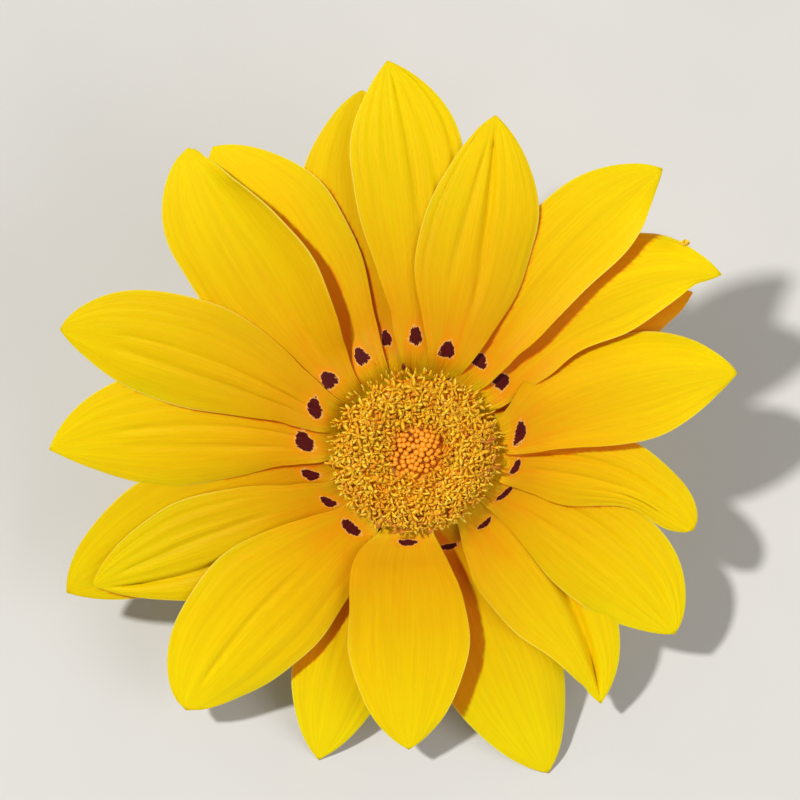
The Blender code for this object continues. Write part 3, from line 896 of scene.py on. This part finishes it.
def rim_lobes(heap, draw):
    """Single lobes around the disc: the outermost ones, the worn and the withered."""
    for i in range(RIM_LOBES):
        turn = 360.0 / RIM_LOBES * i + draw.uniform(-1.5, 1.5)
        foot = np.array((*polar(draw.uniform(8.8, 9.7), turn), draw.uniform(1.6, 3.0)))
        foot[1] -= 0.4
        away = np.array((*polar(1.0, turn + draw.uniform(-14, 14)), 0.0))
        long, tint = draw.uniform(0.9, 1.6), draw.choice((0.7, 0.8, 0.84, 0.88, 0.88))
        lobe(heap, foot, OUT_OF_FACE, away, long, draw.uniform(0.10, 0.18), 0.5, 1.2, tint)
    for middle, count in WORN:
        for _ in range(count):
            turn = middle + draw.uniform(-7, 7)
            foot = np.array((*polar(draw.uniform(7.6, 9.3), turn), draw.uniform(4.1, 4.7)))
            foot[1] -= 0.8
            away = np.array((*polar(1.0, draw.uniform(0, 360)), 0.0))
            long = draw.uniform(0.7, 1.4)
            lobe(heap, foot, OUT_OF_FACE, away, long, 0.16, 0.5, 2.6, draw.uniform(0.91, 0.97), 0.99)
    for turn, out, long in WITHERED:
        base = np.array((*polar(out, turn), 1.9))
        away = np.array((*polar(1.0, turn), 0.0))
        lobe(heap, base, OUT_OF_FACE, away, long, 0.22, 0.6, 1.5, 1.0, 1.0)


def disc(material, green):
    """The open florets and the receptacle that carries them."""
    draw = random.Random(11)
    heap = Heap()
    open_florets(heap, draw)
    rim_lobes(heap, draw)
    heap.build("disc_open_florets", "disc_florets", material)
    heap = Heap()
    points, faces = turned(CORE, 72)
    heap.add(points, faces, 0.58)
    heap.build("disc_receptacle", "disc_florets", material)
    heap = Heap()
    points, faces = turned(CORE_WALL, 72)
    ribs = 1.0 + 0.012 * np.cos(20 * np.arctan2(points[:, 0], points[:, 1]))
    heap.add(points * np.stack((ribs, ribs, np.ones(len(ribs))), axis=-1), faces, 0.5)
    heap.build("disc_receptacle_wall", "disc_florets", green)


def buds(material):
    """The closed buds in the middle of the disc, on their bed."""
    draw = random.Random(5)
    heap = Heap()
    sides = 15
    share = np.array((0.0, 0.45, 0.70, 0.85, 0.94, 0.99))
    for i in range(BUDS):
        out = BUDS_TO * math.sqrt((i + 0.5) / BUDS)
        foot = np.array((*polar(out, math.degrees(i * GOLDEN_ANGLE)), 3.0))
        foot[:2] += (-0.35 + draw.uniform(-0.14, 0.14), 0.25 + draw.uniform(-0.14, 0.14))
        top = 4.5 - 0.035 * out * out + draw.uniform(-0.12, 0.12)
        tip = foot * (1.0, 1.0, 0.0) * 1.02 + (0.0, 0.0, top)
        up = unit(tip - foot)
        size = draw.uniform(0.33, 0.43)
        across = unit(np.cross(up, (0.2, 1.0, 0.1)))
        other = np.cross(up, across)
        radii = size * np.array((0.80, 0.97, 1.0, 0.90, 0.66, 0.26))
        turn = np.arange(sides) * 2 * math.pi / sides + draw.uniform(0, 2)
        seam = 1.0 - 0.10 * (np.cos(5 * turn) > 0.6)
        points = []
        for s, r in zip(share, radii):
            ring = (np.cos(turn) * seam)[:, None] * across + (np.sin(turn) * seam)[:, None] * other
            points.append(foot + up * (top - foot[2]) * s + ring * r)
        # the buds darkest at their feet: painted shade in the gaps between them
        tints = np.repeat((0.0, 0.15, 0.45, 0.75, 0.9, 1.0), sides)
        heap.add(np.concatenate(points), ring_faces(len(share), sides), tints)
    # the bed beneath them in the same dark painted shade
    points, faces = turned(BUD_BED, 48)
    heap.add(points, faces, 0.25)
    heap.build("disc_bud_cluster", "disc_buds", material)


def tip_curl(material):
    """The small crumpled bit on the upper edge of petal t04, as two short flaps."""
    middle, _, _ = petal_surface("t04", *petal_grid())
    i = round(0.92 * ALONG)
    out_way = unit(middle[i, 0] - middle[i, 3])
    tip_way = unit(middle[i + 3, 0] - middle[i, 0])
    heap = Heap()
    for slant, length in ((-0.40, 1.6), (0.45, 2.1)):
        way = unit(out_way + slant * tip_way)
        lobe(heap, middle[i, 0] - 0.5 * out_way, way, OUT_OF_FACE, length, 0.46, 0.0, 1.3, 0.84, 0.9)
    heap.build("ray_floret_04_curl", "petals", material)


# Bract cup
def smooth_profile(profile, count):
    """A finer profile through the same corners, slightly rounded."""
    points = np.array([p for p in profile if p[0] > 0.0])
    lengths = np.concatenate(((0,), np.cumsum(np.linalg.norm(np.diff(points, axis=0), axis=1))))
    at = np.linspace(0, lengths[-1], count)
    fine = np.stack([np.interp(at, lengths, points[:, i]) for i in range(2)], axis=-1)
    for _ in range(3):
        fine[1:-1] = 0.25 * fine[:-2] + 0.5 * fine[1:-1] + 0.25 * fine[2:]
    return fine


def cup_wall(material):
    """The green cup with its shallow ridges."""
    steps = 144
    profile = smooth_profile(CUP, 64)
    turn = np.arange(steps) * 2 * math.pi / steps
    points = []
    for r, h in profile:
        ridged = r * (1.0 + 0.018 * np.cos(12 * turn) * (r > 5) + 0.006 * np.cos(36 * turn))
        points.append(np.stack((ridged * np.sin(turn), ridged * np.cos(turn), np.full(steps, h)), axis=-1))
    faces = [tuple(reversed(face)) for face in ring_faces(len(profile), steps)]
    heap = Heap()
    heap.add(np.concatenate(points), faces, np.repeat(0.3 * np.linspace(0, 1, len(profile)), steps))
    heap.build("bract_cup_wall", "bract_cup", material)


def tooth(heap, foot, out_way, lean, length, half):
    """A pointed bract lobe, keeled on its back, bending outward."""
    steps, sides = 10, 10
    share = np.linspace(0.0, 1.0, steps + 1)
    path, place = [], np.array(foot, float)
    for i, s in enumerate(share):
        angle = math.radians(lean) * (0.55 + 0.9 * s)
        if i:
            way = OUT_OF_FACE * math.cos(angle) + out_way * math.sin(angle)
            place = place + way * length / steps
        path.append(place)
    width = half * (1.0 - share) ** 0.75 * (1.0 + 0.35 * share) + 0.05
    thick = 0.20 * (1.0 - 0.75 * share)
    points = sweep(path, width, thick, np.cross(OUT_OF_FACE, out_way), sides)
    heap.add(points, ring_faces(steps + 1, sides), np.repeat(0.2 + 0.8 * share**2, sides))


def bract_lobes(material):
    """Rings of pointed lobes on the cup, each ring turned against the next."""
    draw = random.Random(3)
    heap = Heap()
    for j, (count, high, out, length, half, lean) in enumerate(TEETH):
        for k in range(count):
            turn = 360.0 * (k + 0.37 * j) / count + draw.uniform(-3, 3)
            way = np.array((*polar(1.0, turn), 0.0))
            foot = way * (out - 0.05) + np.array((0.0, 0.0, high - TOOTH_ROOT))
            size = length * draw.uniform(0.92, 1.02)
            tooth(heap, foot, way, lean, size + TOOTH_ROOT, half)
    heap.build("bract_lobes", "bract_cup", material)


def hair(heap, foot, way, length, radius=0.035):
    """One short bent hair that tapers to its tip."""
    across = unit(np.cross(way, (0.3, 0.5, 0.81)))
    bent = way + 0.35 * across
    path = [foot - 0.05 * way, foot + 0.5 * length * way, foot + length * unit(bent)]
    radii = np.array((1.0, 0.7, 0.15)) * radius
    heap.add(sweep(path, radii, radii, across, 3), ring_faces(3, 3))


def cup_hairs(material):
    """Short pale hairs on the cup's wall."""
    draw = random.Random(9)
    heap = Heap()
    profile = smooth_profile(CUP, 64)
    for _ in range(CUP_HAIRS):
        i = draw.randrange(6, 46)
        r, h = profile[i]
        turn = draw.uniform(0, 360)
        way = np.array((*polar(1.0, turn), 0.0))
        foot = way * r + np.array((0.0, 0.0, h))
        aside = (draw.uniform(-0.3, 0.3), draw.uniform(-0.3, 0.3), draw.uniform(-0.2, 0.6))
        hair(heap, foot, unit(way + np.array(aside)), draw.uniform(0.5, 0.95))
    heap.build("bract_cup_hairs", "bract_cup", material)


# Stem
def stem_path():
    """Centre line of the stem: an arc down from the cup, then a run on the surface."""
    top = leaned((0.0, 0.0, STEM_TOP))
    slope = math.radians(90.0 - LEAN)
    bend = (top[2] - STEM_RADIUS) / (1.0 - math.cos(slope))
    points = []
    for k in range(41):
        angle = slope * (1.0 - k / 40)
        along = top[1] + bend * (math.sin(slope) - math.sin(angle))
        points.append((top[0], along, STEM_RADIUS + bend * (1.0 - math.cos(angle))))
    foot = np.array((CENTRE[0], CENTRE[1], STEM_RADIUS))
    ends = [np.array(points[-1])] + [foot + np.array((x, y, 0.0)) for x, y in STEM_RUN]
    before = np.array(points[-5])
    for i in range(len(ends) - 1):
        prior = ends[i - 1] if i else before
        after = ends[i + 2] if i + 2 < len(ends) else ends[i + 1] * 2 - ends[i]
        reach = np.linalg.norm(ends[i + 1] - ends[i])
        way_in = unit(ends[i + 1] - prior) * reach
        way_out = unit(after - ends[i]) * reach
        if i == 0:
            way_in = np.array((0.0, reach, 0.0))
        for k in range(1, 13):
            s = k / 12
            points.append(
                (2 * s**3 - 3 * s**2 + 1) * ends[i]
                + (s**3 - 2 * s**2 + s) * way_in
                + (3 * s**2 - 2 * s**3) * ends[i + 1]
                + (s**3 - s**2) * way_out
            )
    return np.array(points)


def stem_body(path, side, other, turn, material):
    """The stem's skin, with shallow ridges along it."""
    share = np.linspace(0.0, 1.0, len(path))
    rib = 1.0 - 0.035 * (0.5 - 0.5 * np.cos(12 * turn))
    radius = STEM_RADIUS * (1.0 - 0.02 * np.sin(9.0 * share) ** 2)
    ring = np.cos(turn)[None, :, None] * side[:, None] + np.sin(turn)[None, :, None] * other[:, None]
    points = path[:, None] + ring * (radius[:, None] * rib[None])[..., None]
    tints = np.repeat(0.35 + 0.3 * np.sin(3.0 * share), STEM_SIDES)
    heap = Heap()
    heap.add(points.reshape(-1, 3), ring_faces(len(path), STEM_SIDES), tints)
    heap.build("flower_stem", "stem", material, placed=True)


def stem_hairs(path, way, side, other, material):
    """Short hairs on the stem, none where it lies on the surface."""
    draw = random.Random(21)
    heap = Heap()
    for _ in range(STEM_HAIRS):
        i = draw.randrange(1, len(path) - 2)
        angle = draw.uniform(0, 2 * math.pi)
        out_way = side[i] * math.cos(angle) + other[i] * math.sin(angle)
        foot = path[i] + out_way * STEM_RADIUS * 0.97 + way[i] * draw.uniform(-0.4, 0.4)
        long = draw.uniform(0.35, 0.7)
        if foot[2] + out_way[2] * long < HAIR_CLEARANCE:
            continue
        hair(heap, foot, unit(out_way - 0.4 * way[i]), long, 0.028)
    heap.build("stem_hairs", "stem", material, placed=True)


def stem_cut(end, axis, side, other, turn, material):
    """The pale pith at the cut end, a little hollow in its middle."""
    ring = np.cos(turn)[:, None] * side + np.sin(turn)[:, None] * other
    rings = [end + axis * depth + ring * radius for radius, depth in PITH]
    heap = Heap()
    heap.add(np.concatenate(rings), ring_faces(len(rings), STEM_SIDES), 0.5)
    heap.build("stem_cut_pith", "stem", material, placed=True)


def stem(material, hair_look, pith):
    """The leafless stem, bent from the cup down to the surface."""
    path = stem_path()
    way, side, other = frames_along(path, np.array((1.0, 0.0, 0.0)))
    turn = np.arange(STEM_SIDES) * 2 * math.pi / STEM_SIDES
    stem_body(path, side, other, turn, material)
    stem_hairs(path, way, side, other, hair_look)
    stem_cut(path[-1], way[-1], side[-1], other[-1], turn, pith)


# Stage
def camera_axes():
    """The camera's right and up, and the way back from the bloom to the camera."""
    up_tilt, left_tilt = math.radians(VIEW_UP), math.radians(VIEW_LEFT)
    turn = np.array(Matrix.Rotation(math.radians(LEAN), 3, "X"))
    right, far, out = turn.T
    mid = math.cos(up_tilt) * out + math.sin(up_tilt) * far
    back = math.cos(left_tilt) * mid - math.sin(left_tilt) * right
    image_right = math.cos(left_tilt) * right + math.sin(left_tilt) * mid
    image_up = math.cos(up_tilt) * far - math.sin(up_tilt) * out
    return image_right, image_up, back


def place_camera():
    right, up, back = camera_axes()
    data = bpy.data.cameras.new("camera")
    data.lens, data.sensor_width = LENS, SENSOR
    data.sensor_fit = "HORIZONTAL"
    data.clip_start, data.clip_end = 0.01, 20.0
    thing = new_object("camera", data)
    spot = CENTRE + DISTANCE * back + FRAME_SHIFT[0] * right + FRAME_SHIFT[1] * up
    turn = Matrix((right, up, back)).transposed().to_4x4()
    thing.matrix_world = Matrix.Translation(spot * MM) @ turn
    bpy.context.scene.camera = thing


def lamp(name, towards, reach, size, power, colour):
    """A round lamp that shines on the bloom; its place is given as the camera sees it."""
    way = towards_lamp(towards)
    data = bpy.data.lights.new(name, "AREA")
    data.shape, data.size, data.energy, data.color = "DISK", size, power, colour
    thing = new_object(name, data)
    thing.location = Vector((CENTRE + way * reach) * MM)
    thing.rotation_euler = Vector(way).to_track_quat("Z", "Y").to_euler()


def stage():
    """The pale floor, the three lamps and the soft light all round."""
    half = FLOOR_HALF * MM
    corners = [(-half, -half, 0), (half, -half, 0), (half, half, 0), (-half, half, 0)]
    mesh = bpy.data.meshes.new("floor")
    mesh.from_pydata(corners, [], [(0, 1, 2, 3)])
    floor = new_object("floor", mesh)
    n = Nodes("floor_pale")
    fine = n.noise(n.place(), 0.05, 2.0)
    colour = n.mix(fine, (0.60, 0.60, 0.59, 1), (0.64, 0.64, 0.63, 1))
    mesh.materials.append(n.finish(colour, 0.8, fine, 0.01, 0.2))
    floor.location.z = -FLOOR_DROP * MM
    lamp("key", KEY_LIGHT, 1800, 0.12, 27.5, (1.0, 0.97, 0.93))
    lamp("fill", (0.9, -0.3, 1.0), 1100, 0.9, 4.2, (1.0, 0.97, 0.95))
    lamp("back", (0.2, 1.4, 0.5), 1100, 0.6, 0.8, (1.0, 1.0, 1.0))
    bpy.context.scene.view_settings.view_transform = "Standard"
    world = bpy.data.worlds.new("studio")
    world.use_nodes = True
    background = world.node_tree.nodes["Background"]
    background.inputs["Color"].default_value = (1.0, 0.97, 0.92, 1)
    background.inputs["Strength"].default_value = 0.27
    bpy.context.scene.world = world


def main():
    place_camera()
    stage()
    look = petal_material()
    for number, key in enumerate(PETALS, 1):
        petal(number, f"ray_floret_{number:02d}", key, look)
    green = green_material("bract_green", (0.23, 0.33, 0.07, 1), (0.10, 0.19, 0.035, 1))
    yellow = floret_material()
    disc(yellow, green)
    tip_curl(yellow)
    buds(bud_material())
    cup_wall(green)
    bract_lobes(green)
    hair_look = hair_material()
    cup_hairs(hair_look)
    stem(
        green_material("stem_green", (0.36, 0.45, 0.13, 1), (0.20, 0.31, 0.07, 1)),
        hair_look,
        pith_material(),
    )


main()
